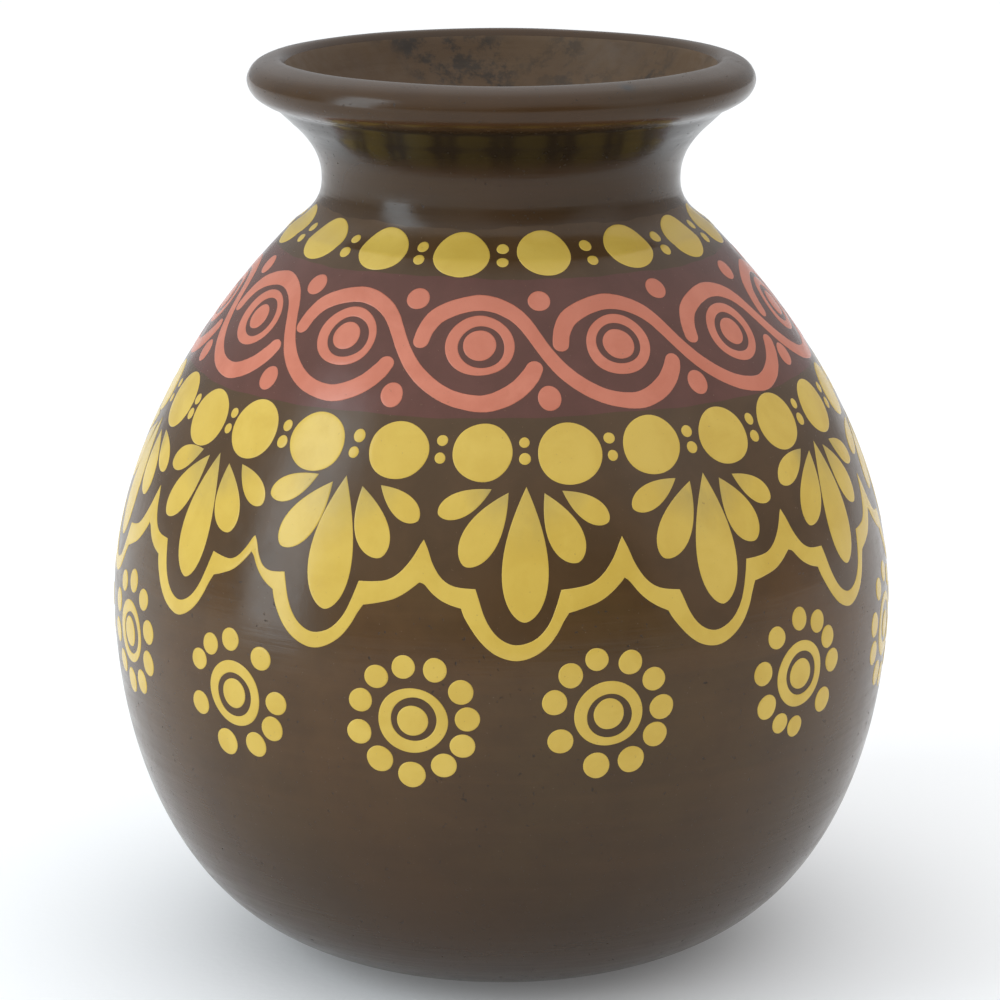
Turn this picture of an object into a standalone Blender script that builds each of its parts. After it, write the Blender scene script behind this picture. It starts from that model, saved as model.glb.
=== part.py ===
"""Round-bellied earthenware vase with a waisted neck and a rolled lip.

Five clay pieces, shaped apart and luted together with slip on scarfed joints: the foot slab,
the lower bowl, the shoulder, the neck collar and the lip coil.
Metres, +Z up. The origin is the centre of the foot, on the surface that the vase stands on.
"""

import math

import bmesh
import bpy

# Driving dimensions. The outline is in shares of the height.
HEIGHT = 0.254
WALL = 0.0065
JOINT_GAP = 0.0003

# Body: two squared-off ellipses that meet at the belly.
BELLY_RADIUS = 0.4360 * HEIGHT
BELLY_Z = 0.395 * HEIGHT
BOWL_DEPTH = 0.404 * HEIGHT
BOWL_POWERS = (1.955, 3.60)
SHOULDER_RISE = 0.589 * HEIGHT
SHOULDER_POWERS = (1.886, 1.178)

# Neck: a hollow curve on each side of the throat.
NECK_ROOT_Z = 0.815 * HEIGHT
THROAT_Z = 0.868 * HEIGHT
THROAT_RADIUS = 0.1968 * HEIGHT
NECK_ROOT_POWER = 2.4
FLARE_TOP_Z = 0.932 * HEIGHT
FLARE_RADIUS = 0.2306 * HEIGHT
FLARE_POWER = 2.18

# Lip: its outline in shares of the height, from the flare outwards, over and in again.
LIP_OUTLINE = (
    (0.2306, 0.9320),  # top of the flare
    (0.2396, 0.9405),
    (0.2490, 0.9486),  # hollow under the lip
    (0.2606, 0.9540),  # lower edge
    (0.2722, 0.9625),
    (0.2776, 0.9752),  # widest point
    (0.2740, 0.9868),
    (0.2652, 0.9947),
    (0.2485, 1.0000),  # crest
    (0.2387, 0.9958),  # inner edge
    (0.2270, 0.9760),  # inside of the mouth
)
POINTS_PER_LIP_SPAN = 2

# Joints: the height of each one on the outside. A scarf climbs the wall by this much inwards.
FOOT_JOINT_Z = 0.0045
BELLY_JOINT_Z = BELLY_Z
COLLAR_JOINT_Z = 0.812 * HEIGHT
LIP_JOINT_Z = FLARE_TOP_Z
BELLY_SCARF = 0.0060
COLLAR_SCARF = 0.0025

# Rings of points along each piece, and steps around it. The bowl's rings crowd towards its
# heel, where it curves most.
BOWL_RINGS = 11
BOWL_CROWDING = 1.7
SHOULDER_RINGS = 10
COLLAR_RINGS = 9
HEEL_RINGS = 4
STEPS = 64
MERGE_DISTANCE = 0.00001

# Colours in linear light, with roughness.
BURNISHED_CLAY = ((0.085, 0.060, 0.040), 0.34)
BURNISHED_CLAY_DARK = ((0.062, 0.042, 0.028), 0.36)


def bowl_radius(z):
    """Outer radius below the belly."""
    along, around = BOWL_POWERS
    drop = (BELLY_Z - z) / BOWL_DEPTH
    return BELLY_RADIUS * (1 - drop**along) ** (1 / around)


def shoulder_radius(z):
    """Outer radius between the belly and the root of the neck."""
    along, around = SHOULDER_POWERS
    rise = (z - BELLY_Z) / SHOULDER_RISE
    return BELLY_RADIUS * (1 - rise**along) ** (1 / around)


def neck_radius(z):
    """Outer radius of the waisted neck, from its root to the top of the flare."""
    if z < THROAT_Z:
        share = (THROAT_Z - z) / (THROAT_Z - NECK_ROOT_Z)
        spread = shoulder_radius(NECK_ROOT_Z) - THROAT_RADIUS
        return THROAT_RADIUS + spread * share**NECK_ROOT_POWER
    share = (z - THROAT_Z) / (FLARE_TOP_Z - THROAT_Z)
    return THROAT_RADIUS + (FLARE_RADIUS - THROAT_RADIUS) * share**FLARE_POWER


def outer_radius(z):
    """Outer radius at a height between the foot and the top of the flare."""
    if z < BELLY_Z:
        return bowl_radius(z)
    if z < NECK_ROOT_Z:
        return shoulder_radius(z)
    return neck_radius(z)


def outer_point(z):
    return (outer_radius(z), z)


def inner_point(z):
    """The point one wall thickness inside the outer point at height z."""
    step = 0.0005
    slope = (outer_radius(z + step) - outer_radius(z - step)) / (2 * step)
    length = math.hypot(1, slope)
    return (outer_radius(z) - WALL / length, z + WALL * slope / length)


def spaced(start, end, count, crowding=1):
    """Values from start to end, both included. Crowding above 1 gathers them near the start."""
    return [start + (end - start) * (i / (count - 1)) ** crowding for i in range(count)]


def smooth_through(points, per_span):
    """Catmull-Rom curve through the points, ends included."""
    padded = [points[0], *points, points[-1]]
    curve = []
    for before, start, end, after in zip(padded, padded[1:], padded[2:], padded[3:]):
        for i in range(per_span):
            t = i / per_span
            curve.append(
                tuple(
                    0.5 * (2 * b + (c - a) * t + (2 * a - 5 * b + 4 * c - d) * t**2
                           + (3 * b - a - 3 * c + d) * t**3)
                    for a, b, c, d in zip(before, start, end, after)
                )
            )
    curve.append(points[-1])
    return curve


def wall_section(low, high, low_scarf, high_scarf, rings, crowding=1):
    """Closed section of the wall between two joints: down the outside, then up the inside."""
    low += JOINT_GAP / 2
    high -= JOINT_GAP / 2
    outside = [outer_point(z) for z in spaced(low, high, rings, crowding)]
    inside = [inner_point(z) for z in spaced(low + low_scarf, high + high_scarf, rings, crowding)]
    return list(reversed(outside)) + inside


def lip_section():
    """The rolled lip, standing on the end of the flare."""
    crest = smooth_through([(r * HEIGHT, z * HEIGHT) for r, z in LIP_OUTLINE], POINTS_PER_LIP_SPAN)
    start_z = LIP_JOINT_Z + JOINT_GAP / 2
    outside = [outer_point(start_z)] + crest[1:]
    return list(reversed(outside)) + [inner_point(start_z)]


def foot_slab_section():
    """Open section of the slab, from the axis over its top and heel back to the axis."""
    joint = FOOT_JOINT_Z - JOINT_GAP / 2
    top_edge = inner_point(joint)
    heel = [outer_point(z) for z in spaced(joint, 0, HEEL_RINGS)]
    return [(0, top_edge[1]), top_edge, *heel, (0, 0)]


def clay(name, colour, roughness):
    material = bpy.data.materials.new(name)
    material.use_nodes = True
    shader = material.node_tree.nodes["Principled BSDF"]
    shader.inputs["Base Color"].default_value = (*colour, 1)
    shader.inputs["Roughness"].default_value = roughness
    shader.inputs["Metallic"].default_value = 0
    return material


def turned(name, section, closed, look, collection):
    """A round piece: its section at +X, swept about the vase's axis."""
    mesh = bpy.data.meshes.new(name)
    shape = bmesh.new()
    points = [shape.verts.new((r, 0, z)) for r, z in section]
    for start, end in zip(points, points[1:]):
        shape.edges.new((start, end))
    if closed:
        shape.edges.new((points[-1], points[0]))
    shape.to_mesh(mesh)
    shape.free()
    piece = bpy.data.objects.new(name, mesh)
    collection.objects.link(piece)
    piece.data.materials.append(clay(f"{name}_clay", *look))
    sweep = piece.modifiers.new("sweep", "SCREW")
    sweep.axis = "Z"
    sweep.angle = math.tau
    sweep.screw_offset = 0
    sweep.steps = STEPS
    sweep.render_steps = STEPS
    sweep.use_merge_vertices = True
    sweep.merge_threshold = MERGE_DISTANCE
    sweep.use_smooth_shade = True
    return piece


def main():
    for leftover in list(bpy.data.objects):
        bpy.data.objects.remove(leftover)
    vase = bpy.data.collections.new("burnished_vase")
    bpy.context.scene.collection.children.link(vase)

    bowl = wall_section(FOOT_JOINT_Z, BELLY_JOINT_Z, 0, BELLY_SCARF, BOWL_RINGS, BOWL_CROWDING)
    shoulder = wall_section(BELLY_JOINT_Z, COLLAR_JOINT_Z, BELLY_SCARF, COLLAR_SCARF, SHOULDER_RINGS)
    collar = wall_section(COLLAR_JOINT_Z, LIP_JOINT_Z, COLLAR_SCARF, 0, COLLAR_RINGS)
    turned("foot_slab", foot_slab_section(), False, BURNISHED_CLAY_DARK, vase)
    turned("lower_bowl", bowl, True, BURNISHED_CLAY, vase)
    turned("shoulder", shoulder, True, BURNISHED_CLAY, vase)
    turned("neck_collar", collar, True, BURNISHED_CLAY_DARK, vase)
    turned("lip_coil", lip_section(), True, BURNISHED_CLAY, vase)


main()
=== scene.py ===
"""Burnished earthenware vase with slip-painted bands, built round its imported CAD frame.

The clay is shown as five turned pieces on the CAD outline. Each family of painted motifs is a
thin raised shell laid on that outline. Metres, +Z up.
A place on the wall is (angle, reach): degrees from the front (-Y) towards +X, and millimetres
along the outline from the edge of the foot.
"""

import math
import random

import bpy
import numpy as np
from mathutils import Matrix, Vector


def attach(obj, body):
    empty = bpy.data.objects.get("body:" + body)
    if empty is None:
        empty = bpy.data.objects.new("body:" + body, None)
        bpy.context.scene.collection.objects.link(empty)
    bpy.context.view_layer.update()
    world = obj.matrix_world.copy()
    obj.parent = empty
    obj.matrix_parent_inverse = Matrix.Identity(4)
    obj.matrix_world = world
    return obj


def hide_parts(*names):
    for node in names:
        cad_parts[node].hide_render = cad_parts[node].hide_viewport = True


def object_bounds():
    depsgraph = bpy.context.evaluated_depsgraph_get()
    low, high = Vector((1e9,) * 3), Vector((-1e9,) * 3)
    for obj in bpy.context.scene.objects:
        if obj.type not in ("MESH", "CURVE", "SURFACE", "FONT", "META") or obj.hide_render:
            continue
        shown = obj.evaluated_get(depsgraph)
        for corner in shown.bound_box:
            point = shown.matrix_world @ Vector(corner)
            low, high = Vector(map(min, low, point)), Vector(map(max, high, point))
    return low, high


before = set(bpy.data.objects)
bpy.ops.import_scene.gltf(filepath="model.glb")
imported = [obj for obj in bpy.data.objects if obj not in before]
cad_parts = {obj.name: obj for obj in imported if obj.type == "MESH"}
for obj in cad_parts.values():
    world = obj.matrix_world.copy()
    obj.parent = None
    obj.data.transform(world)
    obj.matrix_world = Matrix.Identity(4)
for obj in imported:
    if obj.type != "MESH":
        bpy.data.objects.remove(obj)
CAD_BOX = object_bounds()

MM = 0.001
HEIGHT = CAD_BOX[1].z
WALL = 0.0065
DRAW = random.Random(11)

# The CAD's outline, in shares of the height.
BELLY_RADIUS = 0.4360 * HEIGHT
BELLY_Z = 0.395 * HEIGHT
BOWL_DEPTH = 0.404 * HEIGHT
BOWL_POWERS = (1.955, 3.60)
SHOULDER_RISE = 0.589 * HEIGHT
SHOULDER_POWERS = (1.886, 1.178)
NECK_ROOT_Z = 0.815 * HEIGHT
THROAT_Z = 0.868 * HEIGHT
THROAT_RADIUS = 0.1968 * HEIGHT
NECK_ROOT_POWER = 2.4
FLARE_TOP_Z = 0.932 * HEIGHT
FLARE_RADIUS = 0.2306 * HEIGHT
FLARE_POWER = 2.18
LIP_OUTLINE = (
    (0.2306, 0.9320),  # top of the flare
    (0.2396, 0.9405),
    (0.2490, 0.9486),  # hollow under the lip
    (0.2606, 0.9540),  # lower edge
    (0.2722, 0.9625),
    (0.2776, 0.9752),  # widest point
    (0.2740, 0.9868),
    (0.2652, 0.9947),
    (0.2485, 1.0000),  # crest
    (0.2387, 0.9958),  # inner edge
    (0.2270, 0.9760),  # inside of the mouth
)
FOOT_JOINT_Z = 0.0045
COLLAR_JOINT_Z = 0.812 * HEIGHT
BELLY_SCARF = 0.0060
COLLAR_SCARF = 0.0025

STEPS_AROUND = 512


def outer_radius(z):
    """Outer radius at a height between the foot and the top of the flare."""
    if z < BELLY_Z:
        along, around = BOWL_POWERS
        return BELLY_RADIUS * (1 - ((BELLY_Z - z) / BOWL_DEPTH) ** along) ** (1 / around)
    if z < NECK_ROOT_Z:
        along, around = SHOULDER_POWERS
        return BELLY_RADIUS * (1 - ((z - BELLY_Z) / SHOULDER_RISE) ** along) ** (1 / around)
    if z < THROAT_Z:
        share = (THROAT_Z - z) / (THROAT_Z - NECK_ROOT_Z)
        spread = outer_radius(NECK_ROOT_Z - 1e-9) - THROAT_RADIUS
        return THROAT_RADIUS + spread * share**NECK_ROOT_POWER
    share = (z - THROAT_Z) / (FLARE_TOP_Z - THROAT_Z)
    return THROAT_RADIUS + (FLARE_RADIUS - THROAT_RADIUS) * share**FLARE_POWER


def inner_point(z):
    """The point one wall thickness inside the outer point at height z."""
    step = 0.0005
    slope = (outer_radius(z + step) - outer_radius(z - step)) / (2 * step)
    length = math.hypot(1, slope)
    return (outer_radius(z) - WALL / length, z + WALL * slope / length)


def smooth_through(points, per_span):
    """Catmull-Rom curve through the points, ends included."""
    padded = [points[0], *points, points[-1]]
    curve = []
    for before, start, end, after in zip(padded, padded[1:], padded[2:], padded[3:]):
        for i in range(per_span):
            t = i / per_span
            curve.append(
                tuple(
                    0.5 * (2 * b + (c - a) * t + (2 * a - 5 * b + 4 * c - d) * t**2
                           + (3 * b - a - 3 * c + d) * t**3)
                    for a, b, c, d in zip(before, start, end, after)
                )
            )
    curve.append(points[-1])
    return curve


WALL_POINTS = 3001
FOOT_CROWDING = 1.6  # above 1 it gathers the wall's points near the foot, where it curves most
POINTS_PER_LIP_SPAN = 12
THROAT_POINTS = 60
SMOOTHINGS_IN_MOUTH = 60
SMOOTHED_BEFORE = 8  # points of the lip, ahead of the bend into the throat
SMOOTHED_AFTER = 22  # points of the throat


def whole_outline():
    """The outline from the edge of the foot, over the lip and into the neck, and the number of
    its point where the lip's inside bends into the throat."""
    heights = [FLARE_TOP_Z * (i / (WALL_POINTS - 1)) ** FOOT_CROWDING for i in range(WALL_POINTS)]
    outline = [(outer_radius(z), z) for z in heights]
    lip = [(r * HEIGHT, z * HEIGHT) for r, z in LIP_OUTLINE]
    outline += smooth_through([*lip, inner_point(FLARE_TOP_Z)], POINTS_PER_LIP_SPAN)[1:]
    bend = len(outline) - 1
    throat = np.linspace(FLARE_TOP_Z, COLLAR_JOINT_Z + COLLAR_SCARF, THROAT_POINTS)
    outline += [inner_point(z) for z in throat[1:]]
    outline = np.array(outline)
    near = slice(bend + 1 - SMOOTHED_BEFORE, bend + 1 + SMOOTHED_AFTER)
    for _ in range(SMOOTHINGS_IN_MOUTH):
        before = outline[near.start - 1:near.stop - 1]
        after = outline[near.start + 1:near.stop + 1]
        outline[near] += 0.5 * ((before + after) / 2 - outline[near])
    return outline, bend


OUTLINE, BEND = whole_outline()
REACHES = np.concatenate(([0], np.cumsum(np.hypot(*np.diff(OUTLINE, axis=0).T)) / MM))
FLARE_REACH = float(REACHES[WALL_POINTS - 1])
MOUTH_REACH = float(REACHES[BEND])
THROAT_END_REACH = float(REACHES[-1]) - 0.5


def reach_at(z):
    """Reach at a height on the outside, below the lip."""
    return float(np.interp(z, OUTLINE[:WALL_POINTS, 1], REACHES[:WALL_POINTS]))


def radius_at(reach):
    """Radius of the wall at this reach, in metres."""
    return float(np.interp(reach, REACHES, OUTLINE[:, 0]))


WAVER = 0.00011
NO_WAVER_BELOW = 30  # it fades out over this reach, so that the foot stands flat


def waver(angle, reach):
    """How far the hand-shaped wall stands off its true outline, in metres."""
    turn = np.radians(angle)
    up = reach / 40
    swing = (
        np.sin(2 * turn + 0.9 + 0.5 * up)
        + 0.7 * np.sin(3 * turn - 2.0 - 0.8 * up)
        + 0.45 * np.sin(5 * turn + 0.4 + 1.3 * up)
        + 0.3 * np.sin(9 * turn - 1.7 * up)
    )
    return WAVER * swing * np.clip(reach / NO_WAVER_BELOW, 0, 1)


def spot(angle, reach, lift=0.0):
    """The points at these places, this far off the wall in metres."""
    angle, reach = np.broadcast_arrays(np.asarray(angle, float), np.asarray(reach, float))
    turn = np.radians(angle)
    reach = np.clip(reach, 0, REACHES[-1])
    r, z = (np.interp(reach, REACHES, OUTLINE[:, k]) for k in (0, 1))
    step = 0.4
    dr, dz = (
        np.interp(reach + step, REACHES, OUTLINE[:, k])
        - np.interp(reach - step, REACHES, OUTLINE[:, k])
        for k in (0, 1)
    )
    length = np.hypot(dr, dz)
    off = waver(angle, reach) + lift
    r = r + off * dz / length
    z = z - off * dr / length
    return np.stack([r * np.sin(turn), -r * np.cos(turn), z], axis=-1)


def facing(angle, reach):
    """Unit normals of the wall at these places."""
    along = spot(angle, reach + 0.5) - spot(angle, reach - 0.5)
    around = spot(angle + 0.5, reach) - spot(angle - 0.5, reach)
    normal = np.cross(around, along)
    return normal / np.linalg.norm(normal, axis=-1, keepdims=True)


# ---------------------------------------------------------------- meshes


# Groups of faces that are smooth within themselves, with a sharp edge between two groups.
OUTSIDE, HIGH_JOINT, INSIDE, UNDERSIDE, LOW_JOINT = range(5)


def set_normals(mesh, groups, known=None):
    """Smooth normals within each group of faces. known gives those of the outside and the inside,
    by vertex, where it isn't zero."""
    loops = np.zeros(len(mesh.loops), int)
    mesh.loops.foreach_get("vertex_index", loops)
    totals = np.zeros(len(mesh.polygons), int)
    mesh.polygons.foreach_get("loop_total", totals)
    areas = np.zeros(len(mesh.polygons))
    mesh.polygons.foreach_get("area", areas)
    flat = np.zeros(len(mesh.polygons) * 3)
    mesh.polygons.foreach_get("normal", flat)
    weighted = flat.reshape(-1, 3) * areas[:, None]
    face_of_loop = np.repeat(np.arange(len(totals)), totals)
    group_of_loop = np.asarray(groups)[face_of_loop]
    n_groups = int(max(groups)) + 1
    keys = loops * n_groups + group_of_loop
    sums = np.zeros((len(mesh.vertices) * n_groups, 3))
    np.add.at(sums, keys, weighted[face_of_loop])
    normals = sums[keys]
    normals /= np.maximum(np.linalg.norm(normals, axis=1, keepdims=True), 1e-20)
    if known is not None:
        given = np.isin(group_of_loop, (OUTSIDE, INSIDE)) & (known[loops] != 0).any(axis=1)
        normals[given] = known[loops[given]]
    mesh.polygons.foreach_set("use_smooth", np.ones(len(totals), bool))
    mesh.normals_split_custom_set(normals.tolist())


def loft(loops, cyclic):
    """Faces between loops of vertex numbers, and the band that each face is in.
    A loop of one vertex closes an end. cyclic also joins the last loop to the first."""
    faces, bands = [], []
    pairs = list(zip(loops, loops[1:]))
    if cyclic:
        pairs.append((loops[-1], loops[0]))
    for band, (low, high) in enumerate(pairs):
        count = max(len(low), len(high))
        for j in range(count):
            k = (j + 1) % count
            if len(low) == 1:
                faces.append((low[0], high[k], high[j]))
            elif len(high) == 1:
                faces.append((low[j], low[k], high[0]))
            else:
                faces.append((low[j], low[k], high[k], high[j]))
            bands.append(band)
    return faces, bands


def show(name, mesh):
    """Put a mesh in the scene as a piece that rides the vase."""
    piece = bpy.data.objects.new(name, mesh)
    bpy.context.scene.collection.objects.link(piece)
    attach(piece, "root")
    return piece


def float_attribute(mesh, name, values):
    """Give each vertex a value that the materials read."""
    layer = mesh.attributes.new(name, "FLOAT", "POINT")
    layer.data.foreach_set("value", np.asarray(values, np.float32))


# ---------------------------------------------------------------- materials


class Look:
    """A node material, built from the shader backwards."""

    def __init__(self, name):
        self.material = bpy.data.materials.new(name)
        self.material.use_nodes = True
        self.tree = self.material.node_tree
        self.shader = self.tree.nodes["Principled BSDF"]
        self.place = self.add("ShaderNodeTexCoord").outputs["Object"]

    def add(self, kind, **settings):
        node = self.tree.nodes.new(kind)
        for key, value in settings.items():
            setattr(node, key, value)
        return node

    def feed(self, socket, value):
        if isinstance(value, bpy.types.NodeSocket):
            self.tree.links.new(value, socket)
        else:
            socket.default_value = value

    def noise(self, scale, detail=2.0, rough=0.5, stretch=(1, 1, 1), distortion=0.0):
        mapping = self.add("ShaderNodeMapping")
        self.feed(mapping.inputs["Vector"], self.place)
        self.feed(mapping.inputs["Scale"], stretch)
        node = self.add("ShaderNodeTexNoise")
        self.feed(node.inputs["Vector"], mapping.outputs["Vector"])
        self.feed(node.inputs["Scale"], scale)
        self.feed(node.inputs["Detail"], detail)
        self.feed(node.inputs["Roughness"], rough)
        self.feed(node.inputs["Distortion"], distortion)
        return node.outputs["Fac"]

    def grains(self, scale):
        node = self.add("ShaderNodeTexVoronoi", feature="F1")
        self.feed(node.inputs["Vector"], self.place)
        self.feed(node.inputs["Scale"], scale)
        return node.outputs["Distance"]

    def height(self):
        node = self.add("ShaderNodeSeparateXYZ")
        self.feed(node.inputs[0], self.place)
        return node.outputs["Z"]

    def attribute(self, name):
        return self.add("ShaderNodeAttribute", attribute_name=name).outputs["Fac"]

    def spread(self, value, low, high, to_low=0.0, to_high=1.0):
        node = self.add("ShaderNodeMapRange", interpolation_type="SMOOTHSTEP")
        for socket, number in zip(node.inputs, (value, low, high, to_low, to_high)):
            self.feed(socket, number)
        return node.outputs["Result"]

    def sum(self, *values):
        total = values[0]
        for value in values[1:]:
            total = self.math("ADD", total, value)
        return total

    def math(self, operation, a, b):
        node = self.add("ShaderNodeMath", operation=operation)
        self.feed(node.inputs[0], a)
        self.feed(node.inputs[1], b)
        return node.outputs["Value"]

    def mix(self, share, a, b):
        node = self.add("ShaderNodeMix", data_type="RGBA")
        self.feed(node.inputs[0], share)
        self.feed(node.inputs[6], a)
        self.feed(node.inputs[7], b)
        return node.outputs[2]

    def colour(self, value):
        self.feed(self.shader.inputs["Base Color"], value)

    def roughness(self, value):
        self.feed(self.shader.inputs["Roughness"], value)

    def bump(self, height, depth, strength=1.0):
        node = self.add("ShaderNodeBump")
        self.feed(node.inputs["Height"], height)
        self.feed(node.inputs["Distance"], depth)
        self.feed(node.inputs["Strength"], strength)
        self.feed(self.shader.inputs["Normal"], node.outputs["Normal"])


def tint(colour, share):
    return (*(channel * share for channel in colour), 1)


CLAY = (0.090, 0.045, 0.0160)
CLAY_OLIVE = (0.076, 0.043, 0.0150)
CLAY_DARK = (0.050, 0.025, 0.0095)
# Painted shade: the clay's colour low on the vase, darker than its own.
CLAY_PAINTED_LOW_SHADE = (0.030, 0.0155, 0.0070)
# Painted shade: the clay's colour on the neck, darker than its own.
CLAY_PAINTED_NECK_SHADE = (0.026, 0.0130, 0.0055)
# Near-black: the colour of real pits, the rim chip and the soot inside, and also of painted shade
# under the lip.
SOOT_AND_PAINTED_SHADE = (0.012, 0.009, 0.006)


def clay_look():
    """Burnished brown slip: broad fire clouding, mottling, fine strokes, pits and pale flecks, with
    painted shade low down, on the neck and under the lip.
    """
    look = Look("burnished_clay")
    cloud = look.spread(look.noise(11, 3, 0.55, distortion=0.3), 0.35, 0.68)
    colour = look.mix(cloud, (*CLAY, 1), (*CLAY_OLIVE, 1))
    mottle = look.spread(look.noise(60, 5, 0.6), 0.38, 0.70, 0.0, 0.42)
    colour = look.mix(mottle, colour, (*CLAY_DARK, 1))
    strokes = look.noise(9, 4, 0.6, stretch=(1, 1, 26))
    colour = look.mix(look.spread(strokes, 0.42, 0.75, 0.0, 0.30), colour, tint(CLAY, 1.20))
    pits = look.spread(look.noise(780, 2, 0.5), 0.68, 0.74, 0.0, 0.70)
    colour = look.mix(pits, colour, (*SOOT_AND_PAINTED_SHADE, 1))
    flecks = look.spread(look.grains(420), 0.075, 0.045, 0.0, 0.30)
    colour = look.mix(flecks, colour, (0.26, 0.20, 0.15, 1))
    height = look.height()
    # Painted shade: the clay darkens towards the bottom, standing in for the shade low on the vase.
    painted_low_shade = look.spread(height, 0.0, 0.5 * HEIGHT, 0.85, 0.0)
    colour = look.mix(painted_low_shade, colour, (*CLAY_PAINTED_LOW_SHADE, 1))
    # Painted shade: the clay darkens from the shoulder into the neck, standing in for the shade under
    # the lip.
    painted_neck_shade = look.spread(height, 0.70 * HEIGHT, 0.84 * HEIGHT, 0.0, 0.58)
    colour = look.mix(painted_neck_shade, colour, (*CLAY_PAINTED_NECK_SHADE, 1))
    # Painted shade: a near-black band on the neck just under the lip, where its overhang shades it.
    painted_shade_under_lip = look.math(
        "MULTIPLY",
        look.spread(height, 0.885 * HEIGHT, 0.925 * HEIGHT, 0.0, 0.85),
        look.spread(height, 0.948 * HEIGHT, 0.960 * HEIGHT, 1.0, 0.0),
    )
    colour = look.mix(painted_shade_under_lip, colour, (*SOOT_AND_PAINTED_SHADE, 1))
    worn = look.attribute("worn")
    colour = look.mix(worn, colour, (*SOOT_AND_PAINTED_SHADE, 1))
    look.colour(colour)
    grain = look.noise(170, 4, 0.6)
    look.roughness(look.sum(
        look.spread(grain, 0.3, 0.7, 0.15, 0.21),
        look.spread(strokes, 0.35, 0.70, 0.0, 0.06),
        look.math("MULTIPLY", pits, 0.3),
    ))
    height = look.sum(
        look.math("MULTIPLY", strokes, 0.55),
        look.math("MULTIPLY", grain, 0.12),
        look.math("MULTIPLY", pits, -0.30),
    )
    look.bump(height, 0.00022)
    look.shader.inputs["Specular IOR Level"].default_value = 0.27
    return look.material


def cavity_look():
    """The inside: smoothed, not burnished, with soot clouds from the firing."""
    look = Look("cavity_clay")
    cloud = look.spread(look.noise(14, 4, 0.6), 0.35, 0.65)
    colour = look.mix(cloud, (0.105, 0.060, 0.025, 1), (0.080, 0.043, 0.017, 1))
    clouds = look.spread(look.noise(16, 3, 0.5, distortion=0.5), 0.46, 0.60)
    crumbs = look.spread(look.noise(150, 6, 0.75), 0.44, 0.60, 0.0, 0.78)
    soot = look.math("MULTIPLY", clouds, crumbs)
    colour = look.mix(look.math("MULTIPLY", soot, look.attribute("soot")), colour, (*SOOT_AND_PAINTED_SHADE, 1))
    streaks = look.noise(12, 4, 0.6, stretch=(1, 1, 14))
    colour = look.mix(look.spread(streaks, 0.45, 0.8, 0.0, 0.30), colour, (0.120, 0.080, 0.046, 1))
    look.colour(colour)
    grain = look.noise(240, 4, 0.6)
    look.roughness(look.spread(grain, 0.3, 0.7, 0.44, 0.58))
    height = look.sum(look.math("MULTIPLY", streaks, 0.6), look.math("MULTIPLY", grain, 0.3))
    look.bump(height, 0.0003)
    look.shader.inputs["Specular IOR Level"].default_value = 0.30
    return look.material


def slip_look(name, colour, deep, thin_colour):
    """Painted slip under the burnish: uneven coverage, brush drag, pits and pale rubbed spots."""
    look = Look(name)
    body = look.mix(
        look.spread(look.noise(75, 4, 0.6, distortion=0.4), 0.32, 0.70),
        (*colour, 1),
        (*deep, 1),
    )
    tone = look.attribute("tone")
    body = look.mix(look.math("MULTIPLY", tone, 0.5), body, (*deep, 1))
    drag = look.noise(150, 5, 0.65, stretch=(1, 1, 0.35))
    thin = look.math(
        "MULTIPLY", look.attribute("thin"), look.spread(drag, 0.30, 0.62, 0.35, 1.0)
    )
    rub = look.spread(drag, 0.62, 0.80, 0.0, 0.16)
    body = look.mix(look.math("MAXIMUM", thin, rub), body, (*thin_colour, 1))
    pits = look.spread(look.noise(1300, 2, 0.5), 0.70, 0.78, 0.0, 0.45)
    body = look.mix(pits, body, tint(CLAY, 1.6))
    look.colour(body)
    grain = look.noise(210, 4, 0.6)
    look.roughness(look.sum(
        look.spread(grain, 0.3, 0.7, 0.19, 0.26), look.math("MULTIPLY", pits, 0.25)
    ))
    height = look.sum(
        look.math("MULTIPLY", drag, 0.35),
        look.math("MULTIPLY", grain, 0.15),
        look.math("MULTIPLY", pits, -0.35),
    )
    look.bump(height, 0.00016)
    look.shader.inputs["Specular IOR Level"].default_value = 0.27
    return look.material


LOOKS = {
    "clay": clay_look(),
    "cavity": cavity_look(),
    "yellow": slip_look(
        "yellow_slip", (0.630, 0.440, 0.086), (0.560, 0.375, 0.062), (0.37, 0.275, 0.085)
    ),
    "coral": slip_look(
        "coral_slip", (0.570, 0.192, 0.120), (0.500, 0.155, 0.092), (0.36, 0.135, 0.095)
    ),
    "maroon": slip_look(
        "maroon_slip", (0.112, 0.043, 0.031), (0.092, 0.035, 0.024), (0.086, 0.039, 0.022)
    ),
    "umber": slip_look(
        "umber_slip", (0.082, 0.044, 0.0180), (0.066, 0.036, 0.0145), (0.086, 0.045, 0.0175)
    ),
}


# ---------------------------------------------------------------- the clay body


ANGLES = np.arange(STEPS_AROUND) * 360 / STEPS_AROUND
OUTER_SPACING = 1.5  # between rings, in mm of reach
COLLAR_SPACING = 1.0
LIP_SPACING = 0.7
INNER_SPACING = 2.6
THROAT_END_STEP = 0.0004  # height of the last ring over the scarf, in metres
SOOT_LOW, SOOT_HIGH = 0.72, 0.92  # in shares of the height, soot on the inside sets in between
CREST_REACH = float(REACHES[np.argmax(OUTLINE[:, 1])])
CHIP_REACH = CREST_REACH - 3.5
INNER_EDGE_REACH = CREST_REACH + 3.4
CHIP_ANGLE = 30.0
CHIP_HALF_WIDTH = 2.0
CHIP_DEPTH = 0.00045


def evenly(start, end, spacing):
    """Values from start to end, both included, no further apart than the spacing."""
    count = max(2, math.ceil(abs(end - start) / spacing) + 1)
    return list(np.linspace(start, end, count))


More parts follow.
